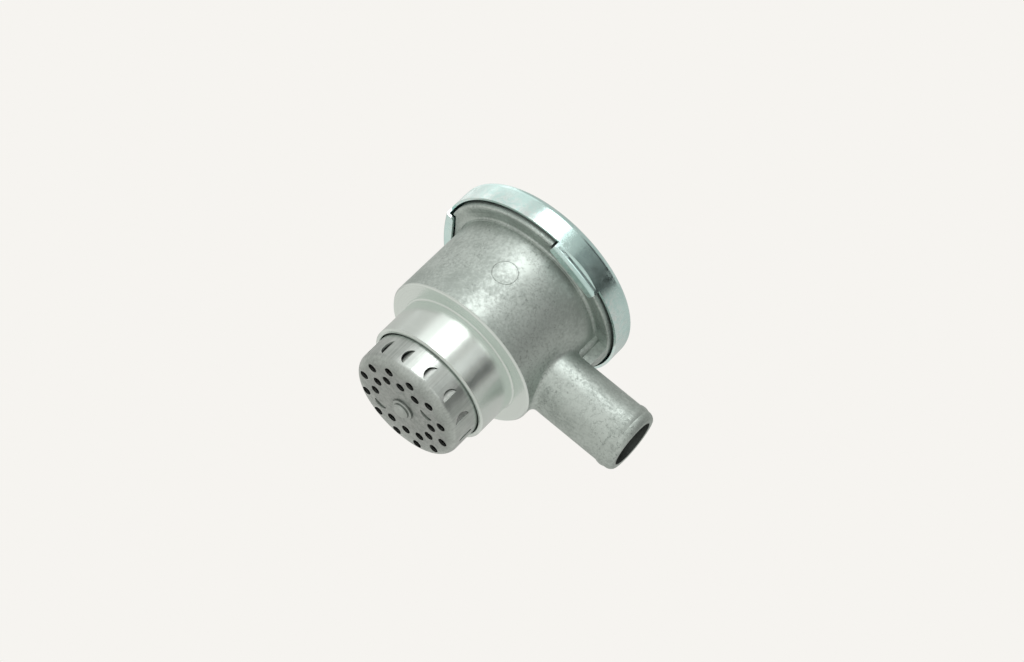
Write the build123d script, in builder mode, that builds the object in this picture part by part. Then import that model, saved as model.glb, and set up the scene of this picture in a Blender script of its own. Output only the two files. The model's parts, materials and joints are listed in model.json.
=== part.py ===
from build123d import *
import os
from math import asin, cos, degrees, radians, sin

# Filler neck with hose port, bayonet cap and strainer cage, for a hydraulic tank.
# Millimetres. +Z runs up through the cap, +X along the hose port.
# The origin is on the neck's axis, in the plane of the shoulder that seats on the tank.

# ---- spigot and barrel -------------------------------------------------------
spigot_radius = 25.0
spigot_length = 17.0
spigot_wall = 1.7
spigot_lip = 0.6
barrel_radius = 31.8
barrel_wall = 3.5
barrel_height = 37.3
seat_bevel = 0.8
seat_fillet = 0.7
ledge_height = 3.0
ledge_chamfer = 1.0

# ---- hose port ---------------------------------------------------------------
port_radius = 12.5
port_wall = 3.3
port_reach = 67.8
port_foot = 3.4
port_root_fillet = 2.2
bead_rise = 0.4
bead_half_width = 1.9
bead_setback = 4.8
nose_length = 2.4
nose_drop = 1.2

# ---- flange and bayonet --------------------------------------------------------
step_rise = 0.6
step_width = 0.12
cove_radius = 0.9
cove_depth = 0.45
flange_overhang = 6.2
flange_thickness = 4.2
rim_land = 0.8
rim_edge = 0.6
rim_slope = 2.2
lip_width = 2.7
lip_rise = 2.1
bayonet_count = 3
lug_azimuth = -63.9
lug_half_angle = 16.5
notch_play = 0.5
notch_floor_play = 0.4
rib_thickness = 5.6
rib_flare = 1.8
rib_setback = 0.4

# ---- cap and seal ------------------------------------------------------------
cap_clearance = 1.0
cap_sheet = 1.0
cap_corner = 3.0
skirt_setback = 2.15
lug_play = 0.2
lug_clearance = 0.5
tab_play = 0.25
tab_curve = 93.0
tab_ramp = 0.9
tab_fold = 1.5
tab_corner = 1.2
dish_radius = 13.0
dish_depth = 1.5
gasket_play = 0.2
gasket_thickness = 2.4
seal_sheet = 0.8
spring_height = 1.8
spring_sheet = 0.5
spring_width = 5.0
spring_waves = 3
spring_gap = 4.0
spring_play = 0.08
rivet_shank = 3.0
rivet_head = 6.0
rivet_head_height = 1.4

# ---- strainer cage -----------------------------------------------------------
cage_gap = 0.4
cage_sheet = 1.0
cage_show = 13.2
cage_corner = 3.5
cage_bend = 1.2
hole_radius = 1.85
hole_count = 12
outer_ring = 18.5
outer_start = 2.6
inner_ring = 13.1
inner_start = 17.6
lance_radius = 2.5
lance_heading = 100.0
lance_press = 0.4
louvre_count = 14
louvre_start = -133.5
louvre_height = 6.9
louvre_length = 6.2
louvre_width = 2.4
louvre_press = 1.0
hinge_step = 0.25
hinge_grip = 0.3
cut_play = 0.18
ring_width = 1.8
ring_sheet = 1.2
ring_bite = 0.7
ring_gap_angle = 14.0
ring_play = 0.25

# ---- wire pack and its rivet --------------------------------------------------
pack_height = 15.0
pack_play = 0.4
plate_sheet = 0.8
plate_holes = 9
plate_hole_radius = 3.2
stud_shank = 1.8
stud_head = 4.3
stud_flange = 0.9
stud_pip = 3.1
stud_pip_height = 1.2
stud_play = 0.1
washer_radius = 4.5
washer_sheet = 0.8
upset_radius = 3.0
upset_height = 1.2

# ---- sizes that follow -------------------------------------------------------
spigot_bore = spigot_radius - spigot_wall
barrel_bore = barrel_radius - barrel_wall
wall_radius = barrel_radius + step_width
flange_radius = barrel_radius + flange_overhang
rim_bottom = barrel_height
cove_top = rim_bottom + cove_depth
flange_top = rim_bottom + flange_thickness
lip_radius = barrel_radius + lip_width
lip_top = flange_top + lip_rise
pitch = 360 / bayonet_count
port_bore = port_radius - port_wall
port_height = port_radius + port_foot

cap_bore = flange_radius + cap_clearance
cap_radius = cap_bore + cap_sheet
gasket_bottom = lip_top + gasket_play
seal_bottom = gasket_bottom + gasket_thickness
seal_top = seal_bottom + seal_sheet
cap_inside = seal_top + spring_height
cap_top = cap_inside + cap_sheet
skirt_edge = rim_bottom + skirt_setback
lug_top = rim_bottom - lug_play
lug_bottom = lug_top - cap_sheet
lug_chord = lip_radius + lug_clearance
notch_floor = lug_chord - notch_floor_play
lug_half_width = cap_radius * sin(radians(lug_half_angle))
notch_half_width = lug_half_width + notch_play
tab_face = flange_radius + tab_play + cap_sheet
tab_half_angle = degrees(asin(lug_half_width / tab_curve))
gasket_inner = barrel_bore + 0.7
gasket_outer = lip_radius + 1.2
seal_radius = gasket_outer + 0.2 + seal_sheet

cage_radius = spigot_bore - cage_gap
cage_inside = cage_radius - cage_sheet
cage_face = -(spigot_length + cage_show)
cage_floor = cage_face + cage_sheet
rim_radius = barrel_bore - cage_gap
rim_top = ledge_height + cage_sheet
louvre_z = cage_face + louvre_height
ring_radius = barrel_bore + ring_bite - ring_width / 2
ring_z = rim_top + ring_sheet / 2 + 0.05
pack_bottom = cage_floor + lance_press + pack_play
pack_top = pack_bottom + pack_height
pack_radius = cage_inside - louvre_press - pack_play
plate_radius = cage_inside - pack_play
plate_top = pack_top + plate_sheet
washer_top = plate_top + washer_sheet


def azimuth_plane(azimuth, outward=0.0, height=0.0):
    """Plane through the neck's axis: x runs outward at the azimuth, y runs up."""
    east = cos(radians(azimuth))
    north = sin(radians(azimuth))
    start = (outward * east, outward * north, height)
    return Plane(origin=start, x_dir=(east, north, 0), z_dir=(north, -east, 0))


def tangent_plane(azimuth, outward):
    """Upright plane facing outward at the azimuth: x runs along +azimuth, y runs up."""
    east = cos(radians(azimuth))
    north = sin(radians(azimuth))
    start = (outward * east, outward * north, 0)
    return Plane(origin=start, x_dir=(-north, east, 0), z_dir=(east, north, 0))


def flap_plane(corner, hinge, across, outward, press, length):
    """Plane of a lanced flap: x along the hinge, y out to the tip, z off the sheet."""
    tilt = Vector(outward) * (-press / length)
    return Plane(origin=corner, x_dir=hinge, z_dir=Vector(hinge).cross(Vector(across) + tilt))


def half_moon(chord, rise, play, grip):
    """Outline of a lance: a straight hinge, set back by the grip, and one arc."""
    half = chord / 2 + play
    with BuildSketch() as moon:
        with BuildLine():
            ThreePointArc((half, 0), (0, rise + play), (-half, 0))
            Line((-half, 0), (half, 0))
        make_face()
        if grip:
            with Locations((0, -grip / 2)):
                Rectangle(2 * half, grip)
    return moon.sketch


# ---- neck body ----------------------------------------------------------------
with BuildPart() as neck_body:
    with BuildSketch(Plane.XZ):
        with BuildLine():
            Polyline(
                (0, -spigot_length),
                (spigot_radius - spigot_lip, -spigot_length),
                (spigot_radius, -spigot_length + spigot_lip),
                (spigot_radius, -seat_fillet),
            )
            RadiusArc((spigot_radius, -seat_fillet), (spigot_radius + seat_fillet, 0), -seat_fillet)
            Polyline(
                (spigot_radius + seat_fillet, 0),
                (barrel_radius - seat_bevel * 0.75, 0),
                (barrel_radius, seat_bevel),
                (barrel_radius, rim_bottom - step_rise),
                (wall_radius, rim_bottom - step_rise + step_width),
                (wall_radius, cove_top - cove_radius),
            )
            RadiusArc(
                (wall_radius, cove_top - cove_radius),
                (wall_radius + cove_radius, cove_top),
                cove_radius,
            )
            Polyline(
                (wall_radius + cove_radius, cove_top),
                (flange_radius - rim_edge - rim_land - rim_slope, cove_top),
                (flange_radius - rim_edge - rim_land, rim_bottom),
                (flange_radius - rim_edge, rim_bottom),
            )
            RadiusArc(
                (flange_radius - rim_edge, rim_bottom),
                (flange_radius, rim_bottom + rim_edge),
                -rim_edge,
            )
            Polyline(
                (flange_radius, rim_bottom + rim_edge),
                (flange_radius, flange_top),
                (lip_radius, flange_top),
                (lip_radius, lip_top),
                (0, lip_top),
                (0, -spigot_length),
            )
        make_face()
    revolve(axis=Axis.Z)

    # hose port: one turned outline about its own axis, with the bead that holds the hose
    with BuildSketch(Plane.XZ):
        bead = port_reach - bead_setback
        with BuildLine():
            Polyline(
                (0, port_height),
                (0, port_height + port_radius),
                (bead - bead_half_width, port_height + port_radius),
            )
            ThreePointArc(
                (bead - bead_half_width, port_height + port_radius),
                (bead, port_height + port_radius + bead_rise),
                (bead + bead_half_width, port_height + port_radius),
            )
            Line(
                (bead + bead_half_width, port_height + port_radius),
                (port_reach - nose_length, port_height + port_radius),
            )
            RadiusArc(
                (port_reach - nose_length, port_height + port_radius),
                (port_reach, port_height + port_radius - nose_drop),
                nose_length * 1.3,
            )
            Polyline(
                (port_reach, port_height + port_radius - nose_drop),
                (port_reach, port_height),
                (0, port_height),
            )
        make_face()
    revolve(axis=Axis((0, 0, port_height), (1, 0, 0)))
    root = (
        neck_body.edges()
        .filter_by(GeomType.CIRCLE, reverse=True)
        .filter_by(GeomType.LINE, reverse=True)
        .filter_by(lambda edge: edge.bounding_box().min.X > barrel_radius / 2)
        .filter_by(lambda edge: edge.bounding_box().max.X < barrel_radius + 1)
    )
    fillet(root, radius=port_root_fillet)

    # rib that ties the flange to the port; it is also the stop that a lug turns against
    with BuildSketch(Plane.XY.offset(port_height)):
        side = rib_thickness / 2
        foot = barrel_radius - 1
        tip = flange_radius - rib_setback
        with BuildLine():
            Line((foot, side + rib_flare), (barrel_radius, side + rib_flare))
            RadiusArc(
                (barrel_radius, side + rib_flare),
                (barrel_radius + rib_flare, side),
                rib_flare,
            )
            Polyline(
                (barrel_radius + rib_flare, side),
                (tip, side),
                (tip, 0),
                (foot, 0),
                (foot, side + rib_flare),
            )
        make_face()
        mirror(about=Plane.XZ)
    extrude(amount=cove_top + 0.5 - port_height)

    # notches that let the cap's lugs pass the flange
    for step in range(bayonet_count):
        azimuth = lug_azimuth + step * pitch
        with BuildSketch(azimuth_plane(azimuth)):
            with Locations(((notch_floor + cap_radius) / 2, (rim_bottom + flange_top) / 2)):
                Rectangle(cap_radius - notch_floor, flange_thickness + 2)
        extrude(amount=notch_half_width, both=True, mode=Mode.SUBTRACT)

    # through bore, stepped at the ledge that carries the cage
    with BuildSketch(Plane.XZ):
        with BuildLine():
            Polyline(
                (0, -spigot_length - 1),
                (spigot_bore + spigot_lip / 2 + 1, -spigot_length - 1),
                (spigot_bore + spigot_lip / 2, -spigot_length),
                (spigot_bore, -spigot_length + spigot_lip / 2),
                (spigot_bore, ledge_height - ledge_chamfer),
                (spigot_bore + ledge_chamfer, ledge_height),
                (barrel_bore, ledge_height),
                (barrel_bore, lip_top - 0.6),
                (barrel_bore + 0.6, lip_top),
                (barrel_bore + 0.6, lip_top + 1),
                (0, lip_top + 1),
                (0, -spigot_length - 1),
            )
        make_face()
    revolve(axis=Axis.Z, mode=Mode.SUBTRACT)
    with BuildSketch(Plane.XZ):
        with Locations((ring_radius, ring_z)):
            Rectangle(ring_width + 2 * ring_play, ring_sheet + 2 * ring_play)
    revolve(axis=Axis.Z, mode=Mode.SUBTRACT)
    with BuildSketch(Plane.YZ):
        with Locations((0, port_height)):
            Circle(port_bore)
    extrude(amount=port_reach + 1, mode=Mode.SUBTRACT)

# ---- filler cap ----------------------------------------------------------------
with BuildPart() as filler_cap:
    with BuildSketch(Plane.XZ):
        with BuildLine():
            Polyline(
                (rivet_shank, cap_top - dish_depth),
                (dish_radius, cap_top - dish_depth),
                (dish_radius + dish_depth, cap_top),
                (cap_radius - cap_corner, cap_top),
            )
            RadiusArc((cap_radius - cap_corner, cap_top), (cap_radius, cap_top - cap_corner), cap_corner)
            Polyline(
                (cap_radius, cap_top - cap_corner),
                (cap_radius, skirt_edge),
                (cap_bore, skirt_edge),
                (cap_bore, cap_top - cap_corner),
                (cap_radius - cap_corner, cap_inside),
                (dish_radius + dish_depth + cap_sheet / 2, cap_inside),
                (dish_radius + cap_sheet / 2, cap_inside - dish_depth),
                (rivet_shank, cap_inside - dish_depth),
                (rivet_shank, cap_top - dish_depth),
            )
        make_face()
    revolve(axis=Axis.Z)

    # lugs: tabs of the skirt, half flattened below its edge and folded in under the flange
    for step in range(bayonet_count):
        azimuth = lug_azimuth + step * pitch
        centre = azimuth_plane(azimuth, tab_face - tab_curve).origin
        side = azimuth_plane(azimuth - tab_half_angle)
        with BuildSketch(Plane(origin=centre, x_dir=side.x_dir, z_dir=side.z_dir)):
            with BuildLine():
                Polyline(
                    (tab_curve - tab_face + cap_radius, skirt_edge),
                    (tab_curve, skirt_edge - tab_ramp),
                    (tab_curve, lug_bottom),
                    (tab_curve - tab_face + barrel_radius, lug_bottom),
                    (tab_curve - tab_face + barrel_radius, lug_top),
                    (tab_curve - cap_sheet, lug_top),
                    (tab_curve - cap_sheet, skirt_edge),
                    (tab_curve - tab_face + cap_radius, skirt_edge),
                )
            make_face()
            fold = vertices().group_by(Axis.Y)[0].sort_by(Axis.X)[-1]
            fillet(fold, radius=tab_fold)
            crease = vertices().group_by(Axis.Y)[1].sort_by(Axis.X)[-1]
            fillet(crease, radius=tab_fold - cap_sheet)
        revolve(axis=Axis(centre, (0, 0, 1)), revolution_arc=2 * tab_half_angle)
        with BuildSketch(azimuth_plane(azimuth)):
            with Locations((lug_chord / 2, (lug_top + lug_bottom) / 2)):
                Rectangle(lug_chord, 2 * cap_sheet)
        extrude(amount=cap_radius / 2, both=True, mode=Mode.SUBTRACT)
    corners = (
        filler_cap.edges()
        .filter_by(Axis.Z)
        .filter_by(lambda edge: edge.center().Z < lug_top)
        .filter_by(lambda edge: abs(edge.length - cap_sheet) < cap_sheet / 10)
    )
    fillet(corners, radius=tab_corner)

    # the tabs stay inside the skirt's own round
    with BuildSketch(Plane.XY.offset(lug_bottom - 1)):
        Circle(cap_radius + cap_corner)
        Circle(cap_radius, mode=Mode.SUBTRACT)
    extrude(amount=skirt_edge - lug_bottom + 1, mode=Mode.SUBTRACT)

# ---- gasket, seal plate and wave spring ---------------------------------------
with BuildPart() as cap_gasket:
    with BuildSketch(Plane.XY.offset(gasket_bottom)):
        Circle(gasket_outer)
        Circle(gasket_inner, mode=Mode.SUBTRACT)
    extrude(amount=gasket_thickness)
    chamfer(cap_gasket.edges().group_by(Axis.Z)[0], length=0.4)

with BuildPart() as seal_plate:
    with BuildSketch(Plane.XZ):
        with BuildLine():
            Polyline(
                (rivet_shank + stud_play, seal_top - dish_depth),
                (dish_radius, seal_top - dish_depth),
                (dish_radius + dish_depth, seal_top),
                (seal_radius - seal_sheet, seal_top),
                (seal_radius, seal_bottom),
                (seal_radius, seal_bottom - gasket_thickness * 0.6),
                (seal_radius - seal_sheet, seal_bottom - gasket_thickness * 0.6),
                (seal_radius - seal_sheet, seal_bottom),
                (dish_radius + dish_depth + seal_sheet / 2, seal_bottom),
                (dish_radius + seal_sheet / 2, seal_bottom - dish_depth),
                (rivet_shank + stud_play, seal_bottom - dish_depth),
                (rivet_shank + stud_play, seal_top - dish_depth),
            )
        make_face()
    revolve(axis=Axis.Z)

with BuildPart() as cap_spring:
    middle = (seal_top + cap_inside) / 2
    swing = (spring_height - spring_sheet) / 2 - spring_play
    coil_radius = seal_radius - seal_sheet - spring_width / 2
    steps = 10 * spring_waves
    turns = [(360 - spring_gap) * step / steps for step in range(steps + 1)]
    crest = [
        (
            coil_radius * cos(radians(turn)),
            coil_radius * sin(radians(turn)),
            middle + swing * cos(radians(spring_waves * turn)),
        )
        for turn in turns
    ]
    with BuildLine() as wave:
        Spline(*crest)
    with BuildSketch(Plane(origin=wave.line @ 0, x_dir=(1, 0, 0), z_dir=wave.line % 0)):
        Rectangle(spring_width, spring_sheet * 0.96)
    sweep(path=wave.line)

with BuildPart() as cap_rivet:
    with BuildSketch(Plane.XZ):
        top = cap_top - dish_depth
        under = seal_bottom - dish_depth
        with BuildLine():
            Polyline((0, top + rivet_head_height), (rivet_head * 0.35, top + rivet_head_height))
            RadiusArc(
                (rivet_head * 0.35, top + rivet_head_height),
                (rivet_head, top),
                rivet_head * 1.1,
            )
            Polyline(
                (rivet_head, top),
                (rivet_shank, top),
                (rivet_shank, under),
                (rivet_shank * 1.6, under),
                (rivet_shank * 1.4, under - rivet_head_height),
                (0, under - rivet_head_height),
                (0, top + rivet_head_height),
            )
        make_face()
    revolve(axis=Axis.Z)

# ---- strainer cage --------------------------------------------------------------
with BuildPart() as strainer_cage:
    with BuildSketch(Plane.XZ):
        with BuildLine():
            Line((0, cage_face), (cage_radius - cage_corner, cage_face))
            RadiusArc(
                (cage_radius - cage_corner, cage_face),
                (cage_radius, cage_face + cage_corner),
                -cage_corner,
            )
            Polyline(
                (cage_radius, cage_face + cage_corner),
                (cage_radius, ledge_height - cage_bend),
                (cage_radius + cage_bend, ledge_height),
                (rim_radius, ledge_height),
                (rim_radius, rim_top),
                (cage_radius + cage_bend - cage_sheet * 0.4, rim_top),
                (cage_inside, ledge_height - cage_bend + cage_sheet * 0.4),
                (cage_inside, cage_face + cage_corner),
                (cage_radius - cage_corner, cage_floor),
                (0, cage_floor),
                (0, cage_face),
            )
        make_face()
    revolve(axis=Axis.Z)

    # punched face: two rings of holes, two places of the inner ring hold lances instead
    lance_steps = (hole_count // 3, hole_count // 3 + hole_count // 2)
    with BuildSketch(Plane.XY.offset(cage_face)):
        with PolarLocations(outer_ring, hole_count, start_angle=outer_start):
            Circle(hole_radius)
        for step in range(hole_count):
            if step not in lance_steps:
                with PolarLocations(inner_ring, 1, start_angle=inner_start + step * 360 / hole_count):
                    Circle(hole_radius)
        Circle(stud_shank + stud_play)
    extrude(amount=cage_corner, mode=Mode.SUBTRACT)

    across = (cos(radians(lance_heading)), sin(radians(lance_heading)), 0)
    hinge = (-across[1], across[0], 0)
    for step in lance_steps:
        azimuth = radians(inner_start + step * 360 / hole_count)
        centre = (inner_ring * cos(azimuth), inner_ring * sin(azimuth))
        flat = Plane(origin=(*centre, cage_face), x_dir=hinge, z_dir=(0, 0, -1))
        with BuildSketch(flat):
            add(half_moon(2 * lance_radius, lance_radius, cut_play, 0))
        extrude(amount=-cage_sheet, mode=Mode.SUBTRACT)
        corner = (*centre, cage_face + hinge_step)
        with BuildSketch(flap_plane(corner, hinge, across, (0, 0, -1), lance_press, lance_radius)):
            add(half_moon(2 * lance_radius, lance_radius, 0, hinge_grip))
        extrude(amount=-cage_sheet * 0.9)

    # louvres round the skirt: half-moon cuts with the flap pressed in along its upright hinge
    for step in range(louvre_count):
        azimuth = louvre_start + step * 360 / louvre_count + 3
        outward = (cos(radians(azimuth)), sin(radians(azimuth)), 0)
        across = (outward[1], -outward[0], 0)
        spot = [cage_radius * outward[0], cage_radius * outward[1], louvre_z]
        with BuildSketch(Plane(origin=spot, x_dir=(0, 0, 1), z_dir=outward)):
            add(half_moon(louvre_length, louvre_width, cut_play, 0))
        extrude(amount=-cage_sheet - 0.5, mode=Mode.SUBTRACT)
        reach = cage_radius - hinge_step
        corner = (reach * outward[0], reach * outward[1], louvre_z)
        with BuildSketch(flap_plane(corner, (0, 0, 1), across, outward, louvre_press, louvre_width)):
            add(half_moon(louvre_length, louvre_width, 0, hinge_grip))
        extrude(amount=-cage_sheet * 0.9)

# ---- wire pack, its plate, stud and washer ----------------------------------------
with BuildPart() as wire_pack:
    with BuildSketch(Plane.XY.offset(pack_bottom)):
        Circle(pack_radius)
        Circle(stud_shank + stud_play, mode=Mode.SUBTRACT)
    extrude(amount=pack_height)
    chamfer(wire_pack.edges().filter_by(GeomType.CIRCLE).sort_by(SortBy.RADIUS)[-2:], length=1.2)

with BuildPart() as pack_plate:
    with BuildSketch(Plane.XY.offset(pack_top)):
        Circle(plate_radius)
        Circle(stud_shank + stud_play, mode=Mode.SUBTRACT)
        with PolarLocations((washer_radius + plate_radius) / 2, plate_holes):
            Circle(plate_hole_radius, mode=Mode.SUBTRACT)
    extrude(amount=plate_sheet)

with BuildPart() as cage_washer:
    with BuildSketch(Plane.XY.offset(plate_top)):
        Circle(washer_radius)
        Circle(stud_shank + stud_play, mode=Mode.SUBTRACT)
    extrude(amount=washer_sheet)

with BuildPart() as cage_stud:
    with BuildSketch(Plane.XZ):
        foot = cage_face - stud_flange
        with BuildLine():
            Polyline(
                (0, foot - stud_pip_height),
                (stud_pip - 0.6, foot - stud_pip_height),
                (stud_pip, foot - stud_pip_height / 3),
                (stud_pip, foot),
                (stud_head - 0.3, foot),
                (stud_head, foot + 0.3),
                (stud_head, cage_face),
                (stud_shank, cage_face),
                (stud_shank, washer_top),
                (upset_radius, washer_top),
                (upset_radius, washer_top + upset_height / 2),
                (upset_radius - 0.8, washer_top + upset_height),
                (0, washer_top + upset_height),
                (0, foot - stud_pip_height),
            )
        make_face()
    revolve(axis=Axis.Z)

# ---- snap ring over the cage's rim --------------------------------------------------
with BuildPart() as snap_ring:
    with BuildSketch(azimuth_plane(180 + ring_gap_angle / 2)):
        with Locations((ring_radius, ring_z)):
            Rectangle(ring_width, ring_sheet)
    revolve(axis=Axis.Z, revolution_arc=360 - ring_gap_angle)

# ---- one STEP for each piece ---------------------------------------------------------
pieces = {
    "neck_body": neck_body,
    "filler_cap": filler_cap,
    "cap_gasket": cap_gasket,
    "seal_plate": seal_plate,
    "cap_spring": cap_spring,
    "cap_rivet": cap_rivet,
    "strainer_cage": strainer_cage,
    "wire_pack": wire_pack,
    "pack_plate": pack_plate,
    "cage_washer": cage_washer,
    "cage_stud": cage_stud,
    "snap_ring": snap_ring,
}
os.makedirs("parts", exist_ok=True)
for label, piece in pieces.items():
    piece.part.label = label
    export_step(piece.part, f"parts/{label}.step")
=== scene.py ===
# %% [markdown]
# # A filler breather for a hydraulic tank
# The part is a die-cast aluminium neck with a turned spigot below, a pressed bayonet cap on
# top, a hose port at the side and a sheet-metal strainer cage hanging in the tank. The solid
# shapes come from the CAD frame, already in metres and in place. What is made here is the
# look: the camera, the light, the finishes, and the pieces that only the eye needs, such as
# the knitted wire in the cage.

# %% Load the frame
import json
from math import cos, pi, radians, sin

import bmesh
import bpy
from mathutils import Matrix, Vector


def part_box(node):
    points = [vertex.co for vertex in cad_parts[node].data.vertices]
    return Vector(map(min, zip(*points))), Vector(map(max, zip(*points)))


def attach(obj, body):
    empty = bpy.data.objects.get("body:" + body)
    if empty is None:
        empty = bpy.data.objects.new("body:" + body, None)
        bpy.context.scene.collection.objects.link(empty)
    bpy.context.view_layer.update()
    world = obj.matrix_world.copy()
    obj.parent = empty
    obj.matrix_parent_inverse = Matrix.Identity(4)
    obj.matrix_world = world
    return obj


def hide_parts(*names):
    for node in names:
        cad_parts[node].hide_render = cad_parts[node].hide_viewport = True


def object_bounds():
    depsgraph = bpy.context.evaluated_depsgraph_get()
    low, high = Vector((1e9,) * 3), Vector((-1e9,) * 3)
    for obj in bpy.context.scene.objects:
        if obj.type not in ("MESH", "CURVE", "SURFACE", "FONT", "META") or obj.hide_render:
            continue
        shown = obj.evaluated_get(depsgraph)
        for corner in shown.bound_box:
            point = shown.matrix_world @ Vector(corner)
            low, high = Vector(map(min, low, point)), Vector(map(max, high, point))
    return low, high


MM = 0.001
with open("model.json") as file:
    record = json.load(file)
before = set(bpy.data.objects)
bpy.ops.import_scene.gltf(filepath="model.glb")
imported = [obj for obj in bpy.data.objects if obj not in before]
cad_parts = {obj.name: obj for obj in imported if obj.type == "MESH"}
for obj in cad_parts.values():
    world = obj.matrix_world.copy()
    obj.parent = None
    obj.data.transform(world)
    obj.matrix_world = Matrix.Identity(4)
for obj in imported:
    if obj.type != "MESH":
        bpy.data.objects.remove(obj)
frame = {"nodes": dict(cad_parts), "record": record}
cad_box = [list(corner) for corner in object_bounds()]
nodes = frame["nodes"]
scene = bpy.context.scene
print("CAD nodes:", sorted(nodes))
print("CAD box (mm):", [[round(v / MM, 1) for v in corner] for corner in cad_box])

# %% [markdown]
# ## Camera
# The part is seen from below and a little from the port's side, rolled so that its axis leans
# across the frame. A camera can be given as a matrix of nine numbers, but azimuth, elevation,
# distance and roll are easier to read and to correct, and the matrix follows from them.

# %% Place the camera
AIM = Vector((8.717, -4.393, 18.225)) * MM
CAMERA_AZIMUTH = -75.628
CAMERA_ELEVATION = -25.576
CAMERA_DISTANCE = 881.71 * MM
CAMERA_ROLL = radians(-45.476)
LENS_MM = 86.673
SENSOR_WIDTH_MM = 36.0
NEAR_LIMIT = 10 * MM


def direction(azimuth, elevation):
    """A unit vector away from the part, from two angles in degrees."""
    return Vector((
        cos(radians(elevation)) * cos(radians(azimuth)),
        cos(radians(elevation)) * sin(radians(azimuth)),
        sin(radians(elevation)),
    ))


toward_camera = direction(CAMERA_AZIMUTH, CAMERA_ELEVATION)
level_right = (-toward_camera).cross(Vector((0, 0, 1))).normalized()
level_up = level_right.cross(-toward_camera)
camera_up = level_up * cos(CAMERA_ROLL) + level_right * sin(CAMERA_ROLL)
camera_right = (-toward_camera).cross(camera_up)

camera_data = bpy.data.cameras.new("camera")
camera_data.lens = LENS_MM
camera_data.sensor_width = SENSOR_WIDTH_MM
camera_data.clip_start = NEAR_LIMIT
camera = bpy.data.objects.new("camera", camera_data)
scene.collection.objects.link(camera)
camera.matrix_world = Matrix.Translation(AIM + toward_camera * CAMERA_DISTANCE) @ Matrix(
    (camera_right, camera_up, toward_camera)
).transposed().to_4x4()
bpy.context.scene.camera = camera
print("camera at (mm):", [round(v / MM, 1) for v in camera.location])

# %% [markdown]
# ## Small tools for nodes
# Every finish below is a node tree. A tree can be clicked together in the shader editor, but
# written out it can be read, changed and made again. Short helpers keep it readable. The
# first ones add a node, fill or link a socket, and open a new node group with named inputs
# and outputs, so that an effect is built once and used in several finishes.


# %% Helpers for node trees
def link(tree, source, target):
    """Links an output socket to an input socket."""
    tree.links.new(source, target)


def feed(tree, value, target):
    """Fills an input socket with a plain number, or links it to another socket."""
    if isinstance(value, (int, float)):
        target.default_value = value
    else:
        link(tree, value, target)


def add_node(tree, kind, **settings):
    """Adds a node; settings that name an input socket fill it, the others are attributes."""
    node = tree.nodes.new(kind)
    for name, value in settings.items():
        socket = node.inputs.get(name.replace("_", " "))
        if socket is not None and not hasattr(node, name):
            socket.default_value = value
        else:
            setattr(node, name, value)
    return node


def new_group(name, inputs, outputs):
    """A shader node group: inputs maps a name to its default, outputs lists names."""
    group = bpy.data.node_groups.new(name, "ShaderNodeTree")
    for label, default in inputs.items():
        kind = "NodeSocketVector" if default is None else "NodeSocketFloat"
        socket = group.interface.new_socket(name=label, in_out="INPUT", socket_type=kind)
        if default is not None:
            socket.default_value = default
    for label in outputs:
        group.interface.new_socket(name=label, in_out="OUTPUT", socket_type="NodeSocketFloat")
    return group, group.nodes.new("NodeGroupInput"), group.nodes.new("NodeGroupOutput")


print("node helpers ready")

# %% [markdown]
# ## Small tools for masks
# A mask is a number from 0 to 1 that changes over the surface. Most of them come from a
# distance or a noise that is cut off between two values, so a few helpers give a sum, a
# distance from an axis, a smooth cut-off and a noise in one line each. From here on, a value
# whose name ends in CUT is such a pair: the mask starts at the first and is full at the
# second. A value whose name ends in SCALE is a noise's waves per metre.


# %% Helpers for numbers and noise
def math_node(tree, operation, first, second=0.0, third=None, clamp=False):
    """A Math node whose operands are sockets or plain numbers; gives its output socket."""
    node = add_node(tree, "ShaderNodeMath", operation=operation, use_clamp=clamp)
    for place, operand in enumerate((first, second, third)):
        if operand is not None:
            feed(tree, operand, node.inputs[place])
    return node.outputs[0]


def hypotenuse(tree, first, second):
    """How far off a point is that lies first one way and second the other way."""
    squares = math_node(tree, "MULTIPLY", first, first)
    squares = math_node(tree, "MULTIPLY_ADD", second, second, squares)
    return math_node(tree, "SQRT", squares)


def split_place(tree, vector):
    """The X, Y and Z of a vector as three sockets."""
    node = add_node(tree, "ShaderNodeSeparateXYZ")
    link(tree, vector, node.inputs[0])
    return node.outputs["X"], node.outputs["Y"], node.outputs["Z"]


def ramp(tree, source, low, high, from_value=0.0, to_value=1.0):
    """Maps low..high of a value to from_value..to_value, smoothly and clamped."""
    node = add_node(tree, "ShaderNodeMapRange", interpolation_type="SMOOTHSTEP")
    node.inputs["From Min"].default_value = low
    node.inputs["From Max"].default_value = high
    node.inputs["To Min"].default_value = from_value
    node.inputs["To Max"].default_value = to_value
    link(tree, source, node.inputs["Value"])
    return node.outputs["Result"]


def noise_value(tree, vector, scale, detail=2.0, roughness=0.5, swirl=0.0):
    """A noise of the vector; its scale, in waves per metre, may be a socket."""
    node = add_node(
        tree, "ShaderNodeTexNoise", Detail=detail, Roughness=roughness, Distortion=swirl
    )
    feed(tree, scale, node.inputs["Scale"])
    link(tree, vector, node.inputs["Vector"])
    return node.outputs["Fac"]


print("mask helpers ready")

# %% [markdown]
# ## Casting skin
# A die-cast surface isn't one grey. The melt leaves cloudy patches of lighter and darker
# skin, small dark pores, thin dark wisps where the metal folded as it froze, and a faint
# orange-peel texture. A ready-made texture could be wrapped round it, but it would show its
# seams and repeat, so noises of different scales do it here. A large one and a fine grit give
# the clouds, a small one cut off high gives the pores, and a fine one with a slow swell gives
# the height for a bump. The wisps are the places where one more noise passes its middle
# value, because such places are long thin lines.

# %% Casting skin group: clouds
GRIT_SCALE = 900.0
GRIT_SHARE = 0.75
CLOUD_CUT = (0.68, 1.06)

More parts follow.
